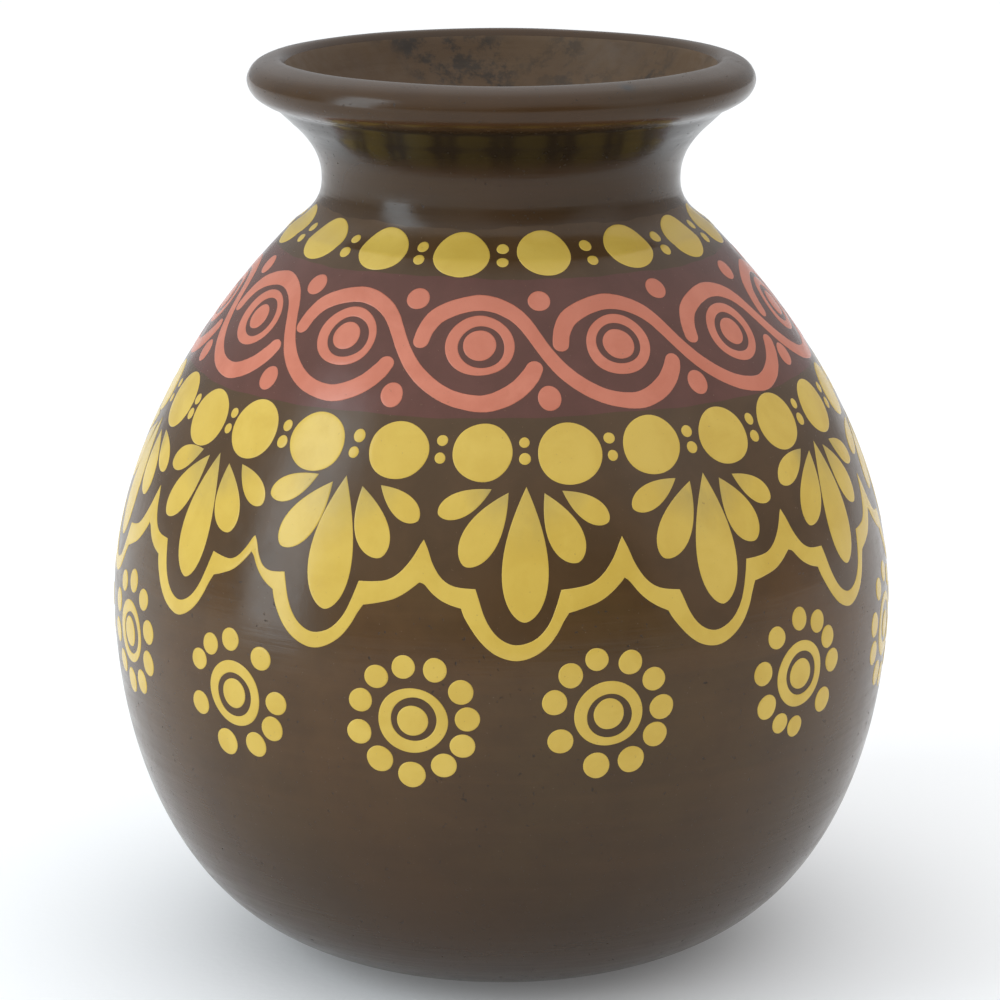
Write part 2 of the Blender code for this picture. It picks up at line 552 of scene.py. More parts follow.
def chip(angle, reach):
    """How much of the small chip on the rim is here, 0 to 1."""
    turn = (angle - CHIP_ANGLE + 180) % 360 - 180
    x = np.radians(turn) * radius_at(CHIP_REACH) / MM
    y = reach - CHIP_REACH
    return np.exp(-((x / CHIP_HALF_WIDTH) ** 2) - (y / CHIP_HALF_WIDTH) ** 2)


def outside_rings(low, high, spacing=OUTER_SPACING):
    """Rings along the outline, each with its points, normals, wear and soot."""
    rings = []
    for reach in evenly(low, high, spacing):
        worn = chip(ANGLES, reach)
        points = spot(ANGLES, reach, -worn * CHIP_DEPTH)
        normals = facing(ANGLES, np.full(STEPS_AROUND, reach))
        rings.append((points, normals, worn, 1.0 if reach > INNER_EDGE_REACH else 0.0))
    return rings


def ring(radius, z, soot=0.0):
    """A true circle, whose normals come from its faces."""
    turn = np.radians(ANGLES)
    points = np.stack(
        [radius * np.sin(turn), -radius * np.cos(turn), np.full(STEPS_AROUND, z)], axis=-1
    )
    return (points, np.zeros((STEPS_AROUND, 3)), np.zeros(STEPS_AROUND), soot)


def axis_point(z):
    """A ring of one point, which closes a piece on the axis."""
    return (np.array([[0.0, 0.0, z]]), np.zeros((1, 3)), np.zeros(1), 0.0)


def inside_rings(high, low):
    """Rings down the inside, from the inner point of one height to that of a lower one."""
    count = max(3, math.ceil((high - low) / MM / INNER_SPACING))
    rings = []
    for z in np.linspace(high, low, count):
        radius, height = inner_point(z)
        near_mouth = float(np.clip((height / HEIGHT - SOOT_LOW) / (SOOT_HIGH - SOOT_LOW), 0, 1))
        rings.append(ring(radius, height, near_mouth))
    return rings


def clay_piece(node, outside, inside, under=()):
    """One turned clay piece: rings up the outside and down the inside.
    under are rings below the piece, from the axis out."""
    rings = [*under, *outside, *inside]
    starts = np.cumsum([0] + [len(r[0]) for r in rings])
    loops = [list(range(a, b)) for a, b in zip(starts, starts[1:])]
    closed_on_axis = len(rings[0][0]) == 1
    faces, bands = loft(loops, cyclic=not closed_on_axis)
    first, last = len(under), len(under) + len(outside) - 1
    inner_first = len(rings) - len(inside)
    groups, materials = [], []
    for band in bands:
        if first <= band < last:
            groups.append(OUTSIDE)
        elif inner_first <= band < len(rings) - 1 and len(inside) > 1:
            groups.append(INSIDE)
        elif band < first:
            groups.append(UNDERSIDE)
        elif band < inner_first:
            groups.append(HIGH_JOINT)
        else:
            groups.append(LOW_JOINT)
        in_mouth = groups[-1] == OUTSIDE and rings[band][3] > 0
        materials.append(1 if groups[-1] == INSIDE or in_mouth else 0)
    mesh = bpy.data.meshes.new(f"{node}_burnished")
    mesh.from_pydata(np.concatenate([r[0] for r in rings]).tolist(), [], faces)
    mesh.materials.append(LOOKS["clay"])
    mesh.materials.append(LOOKS["cavity"])
    mesh.polygons.foreach_set("material_index", materials)
    float_attribute(mesh, "worn", np.concatenate([r[2] for r in rings]))
    float_attribute(
        mesh, "soot", np.concatenate([np.full(len(r[0]), float(r[3])) for r in rings])
    )
    set_normals(mesh, groups, np.concatenate([r[1] for r in rings]))
    piece = show(f"{node}_burnished", mesh)
    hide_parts(node)
    return piece


def clay_body():
    foot, belly, collar = (reach_at(z) for z in (FOOT_JOINT_Z, BELLY_Z, COLLAR_JOINT_Z))
    floor_radius, floor_z = inner_point(FOOT_JOINT_Z)
    edge = radius_at(0)
    scarf_top = COLLAR_JOINT_Z + COLLAR_SCARF
    clay_piece(
        "foot_slab",
        outside_rings(0, foot),
        [ring(floor_radius, floor_z), ring(floor_radius * 0.5, floor_z), axis_point(floor_z)],
        under=[axis_point(0.0), ring(edge * 0.5, 0.0), ring(edge * 0.97, 0.0)],
    )
    clay_piece(
        "lower_bowl",
        outside_rings(foot, belly),
        inside_rings(BELLY_Z + BELLY_SCARF, FOOT_JOINT_Z),
    )
    clay_piece(
        "shoulder",
        outside_rings(belly, collar),
        inside_rings(scarf_top, BELLY_Z + BELLY_SCARF),
    )
    clay_piece(
        "neck_collar",
        outside_rings(collar, FLARE_REACH, COLLAR_SPACING),
        outside_rings(MOUTH_REACH, THROAT_END_REACH, COLLAR_SPACING)
        + inside_rings(scarf_top + THROAT_END_STEP, scarf_top),
    )
    clay_piece("lip_coil", outside_rings(FLARE_REACH, MOUTH_REACH, LIP_SPACING), [])


clay_body()


# ---------------------------------------------------------------- painted slip


EDGE = 0.30  # width of a motif's rounded edge, in mm
COAT = 0.00010  # how far a motif stands off the clay
WIDEST_EDGE = 0.3  # share of a stroke's width
NARROWEST_STROKE = 0.01
EDGE_LIFT = 0.15  # share of its coat that a motif stands off the clay at its very edge
GROUND_COAT = 0.00003
GROUND_EDGE_LIFT = 0.1
GROUND_EDGE = 0.008  # width of a ground's edge, as a share of the ground
GROUND_ROWS = 24
SINK = 0.00025  # how far a motif's hidden underside lies inside the clay
BLOB_SPACING = 1.1  # between the rings of a filled motif, in mm
WIDEST_FACE = 60.0  # wider than any face that doesn't cross the back seam, in mm


class Slip:
    """One family of painted motifs: closed thin shells laid on the wall."""

    def __init__(self, coat=COAT):
        self.coat = coat
        self.rows = []  # angle, reach, lift, thin, tone
        self.faces = []

    def shell(self, loops, cyclic, tone):
        """loops are lists of (angle, reach, lift, thin). The faces are turned to point outwards."""
        start = len(self.rows)
        numbers, at = [], start
        flat = []
        for loop in loops:
            numbers.append(list(range(at, at + len(loop))))
            at += len(loop)
            flat.extend(loop)
        self.rows.extend((*row, tone) for row in flat)
        faces, _ = loft(numbers, cyclic)
        around = np.array([math.radians(a) * radius_at(r) / MM for a, r, _, _ in flat])
        along = np.array([r for _, r, _, _ in flat])
        lifts = np.array([lift for _, _, lift, _ in flat])
        corners = np.array([(*face, face[0])[:4] for face in faces]) - start
        x, y = around[corners], along[corners]
        on_top = (lifts[corners] > 0).all(axis=1) & (np.ptp(x, axis=1) < WIDEST_FACE)
        areas = (x * np.roll(y, -1, axis=1) - np.roll(x, -1, axis=1) * y).sum(axis=1)
        if areas[on_top].sum() < 0:
            faces = [tuple(reversed(face)) for face in faces]
        self.faces.extend(faces)

    def finish(self, name, look, slot, flush=False):
        """Make the piece. A flush one takes the wall's own normals, so that its edge is soft."""
        rows = np.array(self.rows)
        mesh = bpy.data.meshes.new(name)
        points = spot(rows[:, 0], rows[:, 1], rows[:, 2])
        mesh.from_pydata(points.tolist(), [], self.faces)
        mesh.materials.append(LOOKS[look])
        float_attribute(mesh, "thin", rows[:, 3])
        float_attribute(mesh, "tone", rows[:, 4])
        known = facing(rows[:, 0], rows[:, 1]) if flush else None
        set_normals(mesh, np.zeros(len(self.faces), int), known)
        return show(name, mesh)


def angle_of(centre, x, reach):
    """The angle x mm to the right of a centre, on the wall's girth at this reach."""
    return centre + math.degrees(x * MM / radius_at(reach))


def blob(slip, centre, reach, outline, thin=None):
    """A filled motif. outline is clockwise or not, in mm round its own centre.
    thin gives how thin the coat is at a point of it."""

    def row(x, y, lift):
        return (angle_of(centre, x, reach), reach + y, lift, thin(x, y) if thin else 0.0)

    size = max(math.hypot(x, y) for x, y in outline)
    inner = 1 - EDGE / size
    loops = [[row(0, 0, slip.coat)]]
    count = max(2, math.ceil(size / BLOB_SPACING))
    for share in (inner * (k + 1) / count for k in range(count)):
        loops.append([row(x * share, y * share, slip.coat) for x, y in outline])
    loops.append([row(x, y, slip.coat * EDGE_LIFT) for x, y in outline])
    loops.append([row(x, y, -SINK) for x, y in outline])
    loops.append([row(0, 0, -SINK)])
    slip.shell(loops, False, DRAW.random())


def hand_ring(width, height, points, shake=0.022):
    """A circle as a brush or a dabber leaves it, in mm round its centre."""
    waves = [
        (n, shake * DRAW.uniform(0.3, 1) / (n - 1), DRAW.uniform(0, math.tau)) for n in (2, 3, 5)
    ]
    outline = []
    for i in range(points):
        turn = math.tau * i / points
        share = 1 + sum(size * math.cos(n * turn + start) for n, size, start in waves)
        outline.append((width / 2 * share * math.cos(turn), height / 2 * share * math.sin(turn)))
    return outline


def dot(slip, centre, reach, width, height=None, points=44, shake=0.022):
    blob(slip, centre, reach, hand_ring(width, height or width, points, shake))


def band_ring(slip, centre, reach, outer, inner, off, points=64):
    """A painted ring. off is where the middle of its hole is, in mm from its own middle."""
    outside = hand_ring(outer * DRAW.uniform(0.99, 1.02), outer * DRAW.uniform(0.97, 1.0), points)
    inside = hand_ring(inner, inner, points)
    inside = [(x + off[0], y + off[1]) for x, y in inside]

    def loop(share, lift):
        return [
            (angle_of(centre, a + (c - a) * share, reach), reach + b + (d - b) * share, lift, 0.0)
            for (a, b), (c, d) in zip(outside, inside)
        ]

    edge = 2 * EDGE / (outer - inner)
    slip.shell(
        [
            loop(0, slip.coat * EDGE_LIFT), loop(edge, slip.coat), loop(0.5, slip.coat),
            loop(1 - edge, slip.coat), loop(1, slip.coat * EDGE_LIFT), loop(1, -SINK), loop(0, -SINK),
        ],
        True,
        DRAW.random(),
    )


def stroke(slip, sides, cyclic):
    """A painted line between two sides, given as pairs of (angle, reach) across it."""
    loops = []
    for (a0, s0), (a1, s1) in sides:
        girth = radius_at((s0 + s1) / 2) / MM
        width = math.hypot(math.radians(a1 - a0) * girth, s1 - s0)
        edge = min(WIDEST_EDGE, EDGE / max(width, NARROWEST_STROKE))

        def at(share, lift):
            return (a0 + (a1 - a0) * share, s0 + (s1 - s0) * share, lift, 0.0)

        loops.append([
            at(0, slip.coat * EDGE_LIFT), at(edge, slip.coat), at(0.5, slip.coat),
            at(1 - edge, slip.coat), at(1, slip.coat * EDGE_LIFT), at(1, -SINK), at(0, -SINK),
        ])
    if not cyclic:
        for end in (0, -1):
            middle = [sum(row[i] for row in loops[end]) / 7 for i in range(4)]
            loops.insert(0 if end == 0 else len(loops), [tuple(middle)])
    slip.shell(loops, cyclic, DRAW.random())


def ground(name, look, low, high):
    """A thin ground of slip all round, between two edges given as reach by angle."""
    slip = Slip(GROUND_COAT)

    def loop(share, lift):
        return [
            (angle, low(angle) + (high(angle) - low(angle)) * share, lift, 0.0)
            for angle in ANGLES
        ]

    inner = 1 - 2 * GROUND_EDGE
    shares = [GROUND_EDGE + inner * i / GROUND_ROWS for i in range(GROUND_ROWS + 1)]
    loops = [loop(0, slip.coat * GROUND_EDGE_LIFT)]
    loops += [loop(share, slip.coat) for share in shares]
    loops += [loop(1, slip.coat * GROUND_EDGE_LIFT), loop(1, -SINK)]
    loops += [loop(1 - i / GROUND_ROWS, -SINK) for i in range(1, GROUND_ROWS + 1)]
    slip.shell(loops, True, 0.3)
    return slip.finish(name, look, "maroon_slip", flush=True)


def round_the_vase(front, count):
    """The angles painted in front, and the rest spaced evenly round the back."""
    missing = count - len(front)
    step = (360 - (front[-1] - front[0])) / (missing + 1)
    return [*front, *(front[-1] + step * (i + 1) for i in range(missing))]


def jitter(size):
    return DRAW.uniform(-size, size)


# Widths of the painted motifs, in mm.
NECK_DOT = 14.9
SHOULDER_DOT = 16.4
NECK_SMALL_DOT = 3.2
SHOULDER_SMALL_DOT = 3.15
EYE_DOT = 8.3
EYE_RING, EYE_RING_HOLE = 18.1, 12.1
ROSETTE_DOT = 8.2
ROSETTE_RING, ROSETTE_RING_HOLE = 18.2, 12.0
ROSETTE_RADIUS = 14.8
ROSETTE_OUTER_DOT = 6.8
ROSETTE_DOT_GAP = 0.90  # share of the way to its neighbour that a dot may take

# Where each row is painted, from the left edge of the view to the right, then round the back.
# Most of these angles and reaches are as a program printed them that measured the photograph, and
# the others were corrected or added by eye.
NECK_DOTS = round_the_vase([-80.0, -56.5, -33.5, -10.7, 11.6, 36.9, 60.0, 82.0], 15)
NECK_DOTS_REACH = 254.2
NECK_PAIR_REACHES = (251.3, 256.1)
EYES = round_the_vase([-60.2, -32.9, -4.3, 23.9, 53.5, 82.0], 13)
EYES_REACH = [226.3, 226.4, 226.1, 225.2, 223.5, 224.6]
DOTS_ABOVE_SCROLL_REACH = 239.8
DOTS_BELOW_SCROLL_REACH = 211.4
SHOULDER_DOTS = round_the_vase(
    [-71.5, -58.4, -45.3, -31.6, -16.8, -3.0, 11.1, 25.2, 39.5, 53.5, 67.8], 26
)
SHOULDER_DOTS_REACH = 196.2
SHOULDER_PAIR_REACHES = (194.2, 198.9)
FLOWERS = round_the_vase([-51.5, -25.6, 3.1, 32.4, 60.9], 13)
ROSETTES_IN_FRONT = [-68.0, -39.8, -12.0, 14.6, 46.3, 77.0]
ROSETTES_REACH = [130.0, 125.5, 125.2, 126.7, 128.3, 127.5]
# The clock angles of the dots round each rosette in front, rounded from the same measurements, and
# for some rosettes corrected.
ROSETTE_CLOCKS = (
    range(5, 360, 36),
    (-63, -37, -6, 40, 91, 121, 153, 195, 248),
    (-10, 23, 57, 86, 116, 146, 182, 219, 254, 288, 319),
    (-12, 24, 56, 88, 118, 154, 192, 242, 285, 317),
    (-38, 1, 32, 59, 88, 132, 184, 210, 242, 281),
)


def between(angles):
    """The middle of each gap round the vase."""
    following = [*angles[1:], angles[0] + 360]
    return [(a + b) / 2 for a, b in zip(angles, following)]


def reaches(front, count, size):
    """The reach of each motif: as painted in front, and near the middle round the back."""
    middle = sum(front) / len(front)
    return [*front, *(middle + jitter(size) for _ in range(count - len(front)))]


def pair(slip, angle, low, high, size):
    """Two small dots, one above the other."""
    for reach in (low, high):
        width = size * DRAW.uniform(0.88, 1.15)
        middle = (angle + jitter(0.3), reach + jitter(0.3))
        dot(slip, *middle, width, width * DRAW.uniform(0.95, 1.1), 22)


def neck_dots():
    slip = Slip()
    for angle in NECK_DOTS:
        width = NECK_DOT * DRAW.uniform(0.97, 1.03)
        dot(slip, angle, NECK_DOTS_REACH + jitter(0.4), width, width, 52, 0.028)
    slip.finish("yellow_neck_dots", "yellow", "yellow_slip")
    slip = Slip()
    for angle in between(NECK_DOTS):
        pair(slip, angle, *NECK_PAIR_REACHES, NECK_SMALL_DOT)
    slip.finish("yellow_neck_dot_pairs", "yellow", "yellow_slip")


def shoulder_dots():
    slip = Slip()
    for angle in SHOULDER_DOTS:
        width = SHOULDER_DOT * DRAW.uniform(0.96, 1.04)
        dot(slip, angle, SHOULDER_DOTS_REACH + jitter(0.7), width, width, 56, 0.024)
    slip.finish("yellow_shoulder_dots", "yellow", "yellow_slip")
    slip = Slip()
    for angle in between(SHOULDER_DOTS):
        pair(slip, angle, *SHOULDER_PAIR_REACHES, SHOULDER_SMALL_DOT)
    slip.finish("yellow_shoulder_dot_pairs", "yellow", "yellow_slip")


def coral_eyes():
    rings, dots = Slip(), Slip()
    for angle, reach in zip(EYES, reaches(EYES_REACH, len(EYES), 1.0)):
        dot(dots, angle, reach, EYE_DOT * DRAW.uniform(0.93, 1.08), points=36)
        off = (jitter(0.7) + 0.3, jitter(0.6))
        band_ring(rings, angle, reach, EYE_RING, EYE_RING_HOLE, off)
    for angle in between(EYES):
        middle = angle - 0.8
        above = (middle + jitter(0.6), DOTS_ABOVE_SCROLL_REACH + jitter(0.7))
        dot(dots, *above, 6.4 * DRAW.uniform(0.95, 1.06), points=32)
        below = (middle + jitter(0.8), DOTS_BELOW_SCROLL_REACH + jitter(0.8))
        dot(dots, *below, 6.3, 7.1, points=32)
    rings.finish("coral_eye_rings", "coral", "coral_slip")
    dots.finish("coral_dots", "coral", "coral_slip")


# One stroke of the scroll: x from the eye that a stroke starts over, reach, and width, in mm.
SCROLL = (
    (-15.8, 227.0, 4.5), (-15.0, 230.6, 4.8), (-12.7, 234.4, 5.2), (-8.4, 237.0, 5.0),
    (-3.6, 238.5, 4.9), (0.5, 238.9, 4.9), (5.0, 238.0, 4.7), (9.3, 235.8, 4.6),
    (12.3, 232.9, 4.3), (14.7, 229.2, 4.0), (17.6, 224.2, 3.9), (21.3, 218.9, 4.1),
    (25.8, 214.5, 4.2), (30.6, 211.4, 4.3), (35.3, 209.9, 4.5), (39.7, 209.6, 4.9),
    (44.0, 211.2, 5.1), (47.7, 213.9, 5.0), (50.4, 217.2, 4.8), (51.6, 219.4, 4.4),
)
EYE_PITCH = 37.7
SCROLL_REACH = 226.2
SCROLL_LEAN = 0.8  # how closely a stroke follows the eyes up and down


def coral_scroll():
    slip = Slip()
    eye_reaches = reaches(EYES_REACH, len(EYES), 1.0)
    following = [*EYES[1:], EYES[0] + 360]
    for i, (start, end) in enumerate(zip(EYES, following)):
        here, there = eye_reaches[i], eye_reaches[(i + 1) % len(EYES)]
        girth = radius_at(SCROLL_REACH) / MM
        path = []
        for x, reach, width in smooth_through(SCROLL, 4):
            share = min(1, max(0, x / EYE_PITCH))
            beyond = x - share * EYE_PITCH
            angle = start + share * (end - start) + math.degrees(beyond / girth)
            lean = (here + (there - here) * share - SCROLL_REACH) * SCROLL_LEAN
            path.append((angle, reach + lean, width * DRAW.uniform(0.985, 1.015)))
        stroke(slip, rounded_sides(path, girth), False)
    slip.finish("coral_scroll", "coral", "coral_slip")


def rounded_sides(path, girth):
    """Both sides of a stroke of changing width along a path, with round ends."""
    flat = np.array([(math.radians(a) * girth, s) for a, s, _ in path])
    widths = np.array([w for _, _, w in path])
    length = np.concatenate(([0], np.cumsum(np.hypot(*np.diff(flat, axis=0).T))))
    ends = [widths[0] / 2, widths[-1] / 2]
    total = length[-1]
    caps = [0.03, 0.12, 0.28, 0.5, 0.75, 1.0]  # shares of the way round each end
    stations = [-ends[0] * (1 - c) for c in caps]
    stations += list(length[1:-1])
    stations += [total + ends[1] * (1 - c) for c in reversed(caps)]
    sides = []
    for station in stations:
        inside = min(max(station, 0), total)
        x, y = (np.interp(inside, length, flat[:, k]) for k in (0, 1))
        step = 0.6
        a = [np.interp(min(inside + step, total), length, flat[:, k]) for k in (0, 1)]
        b = [np.interp(max(inside - step, 0), length, flat[:, k]) for k in (0, 1)]
        along = np.array(a) - np.array(b)
        along /= np.linalg.norm(along)
        across = np.array((along[1], -along[0]))
        half = np.interp(inside, length, widths) / 2
        over = station - inside
        half *= math.sqrt(max(0.0, 1 - (over / half) ** 2))
        centre = np.array((x, y)) + along * over
        edges = (centre - across * half, centre + across * half)
        sides.append(tuple((math.degrees(p[0] / girth), p[1]) for p in edges))
    return sides


# A flower's petals: tip and round end in mm from the flower's middle line, and the width.
PETALS = (
    ((1.0, 187.2), (0.0, 152.0), 12.6),
    ((-3.7, 185.4), (-15.4, 166.5), 9.7),
    ((6.2, 185.2), (14.0, 166.9), 9.5),
    ((-8.2, 186.6), (-22.0, 179.4), 6.9),
    ((11.8, 185.6), (23.0, 176.6), 6.6),
)
# How far each flower in front sits from where its angle puts it, across and up, in mm.
FLOWER_MOVES = ((-0.4, 0.5), (0.9, 0.7), (0.0, 0.0), (0.0, 0.0), (0.0, 0.5))
PETAL_POWERS = (1.0, 0.58)
PETAL_POINTS = 30  # on each side
PETALS_REACH = 170


def petals():
    slip = Slip()
    low, high = PETAL_POWERS
    fullest = low / (low + high)
    full = fullest**low * (1 - fullest) ** high
    for i, angle in enumerate(FLOWERS):
        shift, rise = FLOWER_MOVES[i] if i < len(FLOWER_MOVES) else (jitter(0.8), jitter(1.0))
        for tip, end, width in PETALS:
            tip = (tip[0] + shift + jitter(0.4), tip[1] + rise + jitter(0.3))
            end = (end[0] + shift + jitter(0.4), end[1] + rise + jitter(0.4))
            width *= DRAW.uniform(0.96, 1.03)
            along = np.subtract(end, tip)
            length = np.linalg.norm(along)
            along = along / length
            across = np.array((-along[1], along[0]))
            bow = jitter(0.4)
            outline = []
            for side in (1, -1):
                for k in range(PETAL_POINTS):
                    share = (1 - math.cos(math.pi * k / PETAL_POINTS)) / 2
                    share = share if side == 1 else 1 - share
                    half = width / 2 * share**low * (1 - share) ** high / full
                    middle = bow * 4 * share * (1 - share)
                    outline.append(
                        np.array(tip) + along * (share * length) + across * (middle + side * half)
                    )
            middle = np.array(tip) + along * (fullest * length)
            centre_reach = float(middle[1])
            local = [(float(p[0] - middle[0]), float(p[1] - middle[1])) for p in outline]
            wash = DRAW.uniform(0.7, 1.2)

            def thin(x, y, along=along, length=length, wash=wash):
                back = -(x * along[0] + y * along[1]) / (fullest * length)
                return wash * min(1, max(0, back - 0.15))

            centre = angle + math.degrees(middle[0] * MM / radius_at(PETALS_REACH))
            blob(slip, centre, centre_reach, local, thin)
    slip.finish("yellow_petals", "yellow", "yellow_slip")


# The scalloped line under one flower, from the cusp on its left to the cusp on its right:
# x and reach of the line's upper side, then of its lower side, in mm.
SCALLOP = (
    (-25.2, 172.8, -25.6, 162.2),
    (-24.0, 170.2, -24.4, 161.6),
    (-22.6, 166.4, -22.6, 159.4),
    (-20.3, 162.8, -20.6, 157.6),
    (-17.2, 160.9, -18.2, 156.2),
    (-12.4, 160.4, -15.7, 155.3),  # step
    (-11.5, 157.5, -14.9, 153.0),
    (-10.3, 153.8, -13.2, 149.8),
    (-8.6, 150.4, -11.0, 146.6),
    (-6.3, 147.7, -8.0, 143.8),
    (-3.5, 146.1, -4.5, 142.1),
    (-0.8, 145.9, -1.2, 141.7),
    (2.2, 146.9, 2.4, 142.8),
    (4.6, 148.8, 5.8, 145.2),
    (6.6, 151.6, 8.4, 148.5),
    (8.1, 155.0, 10.1, 151.6),
    (9.8, 160.0, 11.6, 153.9),  # step
    (13.8, 160.4, 14.8, 154.9),
    (17.2, 161.3, 18.6, 156.4),
    (20.0, 163.6, 21.4, 158.4),
    (22.6, 167.4, 23.6, 160.6),
    (24.4, 171.2, 24.6, 161.8),
)
STEP_ROWS = (5, 16)
BOTTOM_ROW = 11
# In front, how far the upper and the lower side of each cusp, and each step, rise above SCALLOP.
CUSP_RISES = ((0.3, -4.2, 0.0, 0.2, 0.6), (0.0, 2.0, -0.6, 0.0, 0.0))
STEP_RISES = ((0.4, 1.9), (0.3, 0.9), (0.0, 0.0), (-2.8, 2.6), (0.0, 0.0))
SCALLOP_HALF = 25.2
UNMOVED_HALF = 12  # nearer to the middle than this, a scallop isn't stretched to its neighbours
SCALLOP_REACH = 158


def scallop_sides():
    """Both sides of the scalloped line all round, as pairs of (angle, reach) across it."""
    sides = []
    following = [*FLOWERS[1:], FLOWERS[0] + 360]
    before = [FLOWERS[-1] - 360, *FLOWERS[:-1]]
    tops, bottoms = ([*front, *(jitter(0.8) for _ in FLOWERS[len(front):])] for front in CUSP_RISES)
    girth = radius_at(SCALLOP_REACH) / MM
    for i, (left, angle, right) in enumerate(zip(before, FLOWERS, following)):
        half_left = math.radians(angle - left) * girth / 2
        half_right = math.radians(right - angle) * girth / 2
        front = i < len(STEP_RISES)
        steps = STEP_RISES[i] if front else (jitter(1.5), jitter(1.8))
        depth = jitter(0.5)
        first_step, second_step = STEP_ROWS
        marks = [0, first_step, BOTTOM_ROW, second_step, len(SCALLOP)]
        j = (i + 1) % len(FLOWERS)
        rises = [
            [cusps[i], steps[0], depth, steps[1], cusps[j]] for cusps in (tops, bottoms)
        ]
        shaped = []
        for k, row in enumerate(SCALLOP):
            moved = []
            for (x, reach), side_rises in zip((row[:2], row[2:]), rises):
                rise = np.interp(k, marks, side_rises)
                half = half_left if x < 0 else half_right
                over = max(0.0, abs(x) - UNMOVED_HALF) / (SCALLOP_HALF - UNMOVED_HALF)
                x += math.copysign(1, x) * over * (half - SCALLOP_HALF)
                moved += [x, reach + rise]
            shaped.append(moved)
        _, top, _, bottom = SCALLOP[0]
        shaped.append([half_right, top + tops[j], half_right - 0.4, bottom + bottoms[j]])
        cuts = [0, *STEP_ROWS, len(shaped) - 1]
        for start, end in zip(cuts, cuts[1:]):
            for row in smooth_through(shaped[start:end + 1], 4)[:-1]:
                sides.append(tuple(
                    (angle + math.degrees(x / girth), reach) for x, reach in (row[2:], row[:2])
                ))
    return sides


def rosettes():
    rings, dots = Slip(), Slip()
    behind = between(FLOWERS)[len(ROSETTES_IN_FRONT) - 1:-1]
    rosettes_round = [*ROSETTES_IN_FRONT, *behind]
    everywhere = reaches(ROSETTES_REACH, len(rosettes_round), 1.5)
    for i, (angle, reach) in enumerate(zip(rosettes_round, everywhere)):
        dot(dots, angle, reach, ROSETTE_DOT * DRAW.uniform(0.97, 1.04), points=36)
        off = (jitter(0.8), jitter(0.6))
        band_ring(rings, angle, reach, ROSETTE_RING, ROSETTE_RING_HOLE, off)
        if i < len(ROSETTE_CLOCKS):
            clocks = ROSETTE_CLOCKS[i]
        else:
            count, start = DRAW.choice((9, 10, 10, 11)), jitter(12)
            clocks = [start + 360 * k / count + jitter(4) for k in range(count)]
        for clock in clocks:
            turn = math.radians(clock)
            far = ROSETTE_RADIUS + jitter(0.4)
            others = [other for other in clocks if other != clock]
            apart = min(min((clock - other) % 360, (other - clock) % 360) for other in others)
            widest = ROSETTE_DOT_GAP * 2 * far * math.sin(math.radians(apart / 2))
            usual = (ROSETTE_OUTER_DOT - 0.4 * math.cos(turn)) * DRAW.uniform(0.96, 1.04)
            width = min(widest, usual)
            dot(
                dots,
                angle_of(angle, far * math.sin(turn), reach),
                reach + far * math.cos(turn),
                width,
                width * DRAW.uniform(0.96, 1.03),
                32,
            )
    rings.finish("yellow_rosette_rings", "yellow", "yellow_slip")
    dots.finish("yellow_rosette_dots", "yellow", "yellow_slip")


# The reach of the edges between the grounds.
MAROON_LOW = 205.3
MAROON_HIGH = 246.0
UMBER_HIGH = 262.5


def uneven(level, size, start):
    """An edge round the vase at this reach, brushed by hand."""
    def edge(angle):
        turn = math.radians(angle)
        return level + size * (
            math.sin(3 * turn + start) + 0.6 * math.sin(7 * turn - start)
            + 0.4 * math.sin(16 * turn + 2 * start) + 0.25 * math.sin(41 * turn)
        )
    return edge


def painted_decoration():
    """The scalloped line, the grounds above it, and then the motifs on them."""
    sides = scallop_sides()
    line = Slip()
    stroke(line, sides, True)
    line.finish("yellow_scalloped_line", "yellow", "yellow_slip")

    middle = sorted((((a + c) / 2) % 360, (b + d) / 2) for (a, b), (c, d) in sides)
    angles, levels = zip(*middle)

    def field_low(angle):
        return float(np.interp(angle % 360, angles, levels, period=360))

    ground("umber_flower_ground", "umber", field_low, uneven(MAROON_LOW, 0.35, 1.0))
    ground("maroon_ground", "maroon", uneven(MAROON_LOW, 0.35, 1.0), uneven(MAROON_HIGH, 0.4, 2.2))
    ground("umber_neck_ground", "umber", uneven(MAROON_HIGH, 0.4, 2.2), uneven(UMBER_HIGH, 0.5, 0.3))
    neck_dots()
    coral_eyes()
    coral_scroll()
    shoulder_dots()
    petals()
    rosettes()


painted_decoration()


# ---------------------------------------------------------------- camera, light and floor


CAMERA_DISTANCE = 4.0 * HEIGHT
CAMERA_HEIGHT = 1.5078 * HEIGHT
CAMERA_DOWN = 14.153  # degrees
LENS = 132.0
SENSOR = 36
SHIFT = -0.0013


def camera():
    data = bpy.data.cameras.new("camera")
    data.lens = LENS
    data.sensor_width = SENSOR
    data.shift_x = SHIFT
    data.clip_start = 0.05
    data.clip_end = 50
    viewer = bpy.data.objects.new("camera", data)
    viewer.location = (0, -CAMERA_DISTANCE, CAMERA_HEIGHT)
    viewer.rotation_euler = (math.radians(90 - CAMERA_DOWN), 0, 0)
    bpy.context.scene.collection.objects.link(viewer)
    bpy.context.scene.camera = viewer


def soft_box(name, place, target, width, height, watts, colour=(1, 1, 1)):
    data = bpy.data.lights.new(name, "AREA")
    data.shape = "RECTANGLE"
    data.size = width
    data.size_y = height
    data.energy = watts
    data.color = colour
    lamp = bpy.data.objects.new(name, data)
    lamp.location = place
    towards = Vector(target) - Vector(place)
    lamp.rotation_euler = towards.to_track_quat("-Z", "Y").to_euler()
    bpy.context.scene.collection.objects.link(lamp)


DOME = (0.50, 1.40)  # strength at the horizon and overhead
DARK_SIDE = (0.36, -0.93, 0.05)  # direction in which the studio is dark
DARK_SPREAD = (0.74, 0.97)  # cosines from that direction, where the dark sets in and is full
DARK_SHARE = 0.25


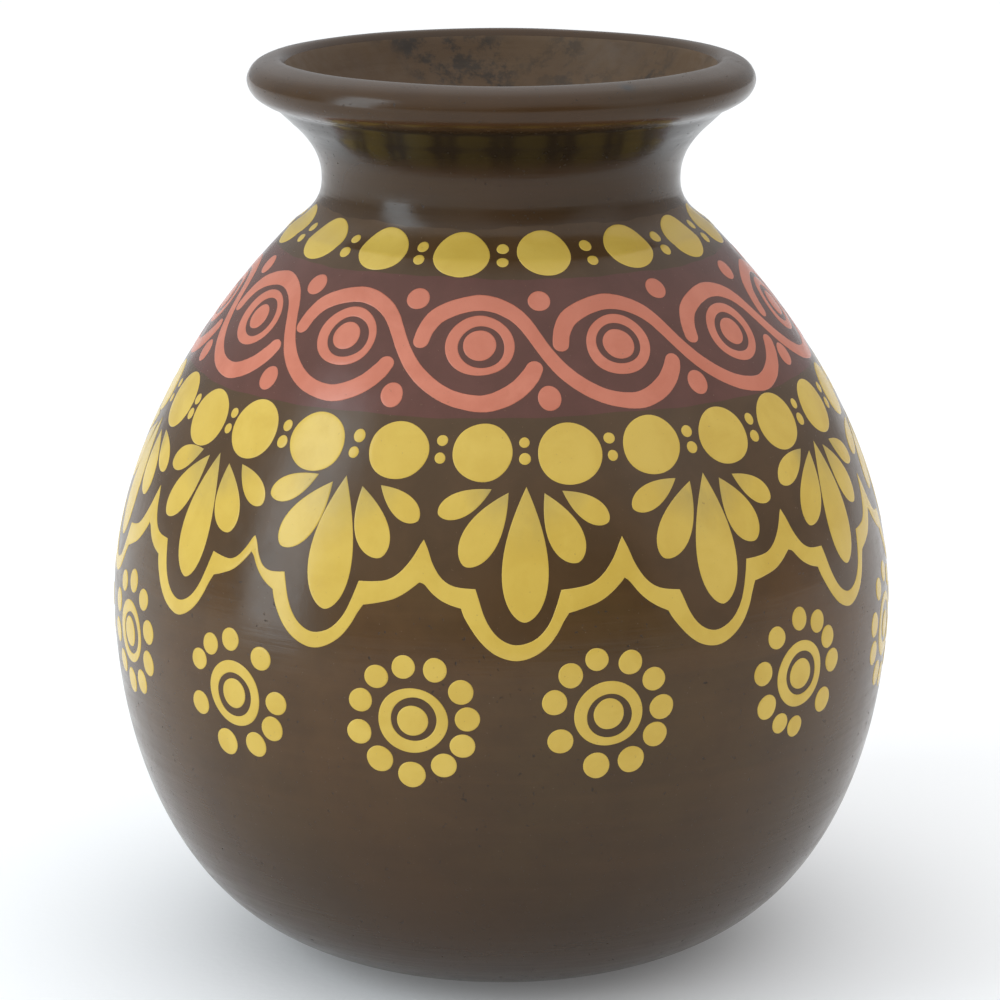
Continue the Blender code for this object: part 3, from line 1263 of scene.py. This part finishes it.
def studio():
    """A dome that is bright overhead and darker low in front, and a tall window on the left."""
    soft_box("window_light", (-1.5, -0.62, 0.72), (0, 0, 0.12), 0.62, 1.5, 14, (0.76, 0.90, 1.0))
    soft_box("fill_light", (1.7, -0.9, 0.9), (0, 0, HEIGHT / 2), 1.2, 1.4, 2)
    world = bpy.data.worlds.new("studio")
    world.use_nodes = True
    tree = world.node_tree
    background = tree.nodes["Background"]
    background.inputs["Color"].default_value = (0.95, 0.97, 1.0, 1)

    def node(kind, *values, **settings):
        made = tree.nodes.new(kind)
        for key, value in settings.items():
            setattr(made, key, value)
        for socket, value in zip(made.inputs, values):
            if isinstance(value, bpy.types.NodeSocket):
                tree.links.new(value, socket)
            else:
                socket.default_value = value
        return made

    direction = node("ShaderNodeTexCoord").outputs["Generated"]
    height = node("ShaderNodeSeparateXYZ", direction).outputs["Z"]
    dome = node("ShaderNodeMapRange", height, 0.05, 1.0, *DOME, interpolation_type="SMOOTHSTEP")
    towards = node("ShaderNodeVectorMath", direction, DARK_SIDE, operation="DOT_PRODUCT")
    dark = node(
        "ShaderNodeMapRange", towards.outputs["Value"], *DARK_SPREAD, 1.0, DARK_SHARE,
        interpolation_type="SMOOTHSTEP",
    )
    product = node(
        "ShaderNodeMath", dome.outputs["Result"], dark.outputs["Result"], operation="MULTIPLY"
    )
    tree.links.new(product.outputs["Value"], background.inputs["Strength"])
    bpy.context.scene.world = world


FLOOR_RADIUS = 9
FLOOR_GLOW = 0.10


def floor():
    bpy.ops.mesh.primitive_circle_add(vertices=128, radius=FLOOR_RADIUS, fill_type="NGON")
    plane = bpy.context.object
    plane.name = "floor"
    look = Look("pale_floor")
    shade = look.noise(3, 3, 0.5)
    look.colour(look.mix(shade, (0.90, 0.90, 0.89, 1), (0.87, 0.87, 0.865, 1)))
    look.roughness(0.75)
    look.bump(look.noise(400, 2, 0.5), 0.0002, 0.3)
    look.shader.inputs["Emission Color"].default_value = (1, 1, 1, 1)
    look.shader.inputs["Emission Strength"].default_value = FLOOR_GLOW
    plane.data.materials.append(look.material)


camera()
studio()
floor()
bpy.context.scene.view_settings.view_transform = "Standard"
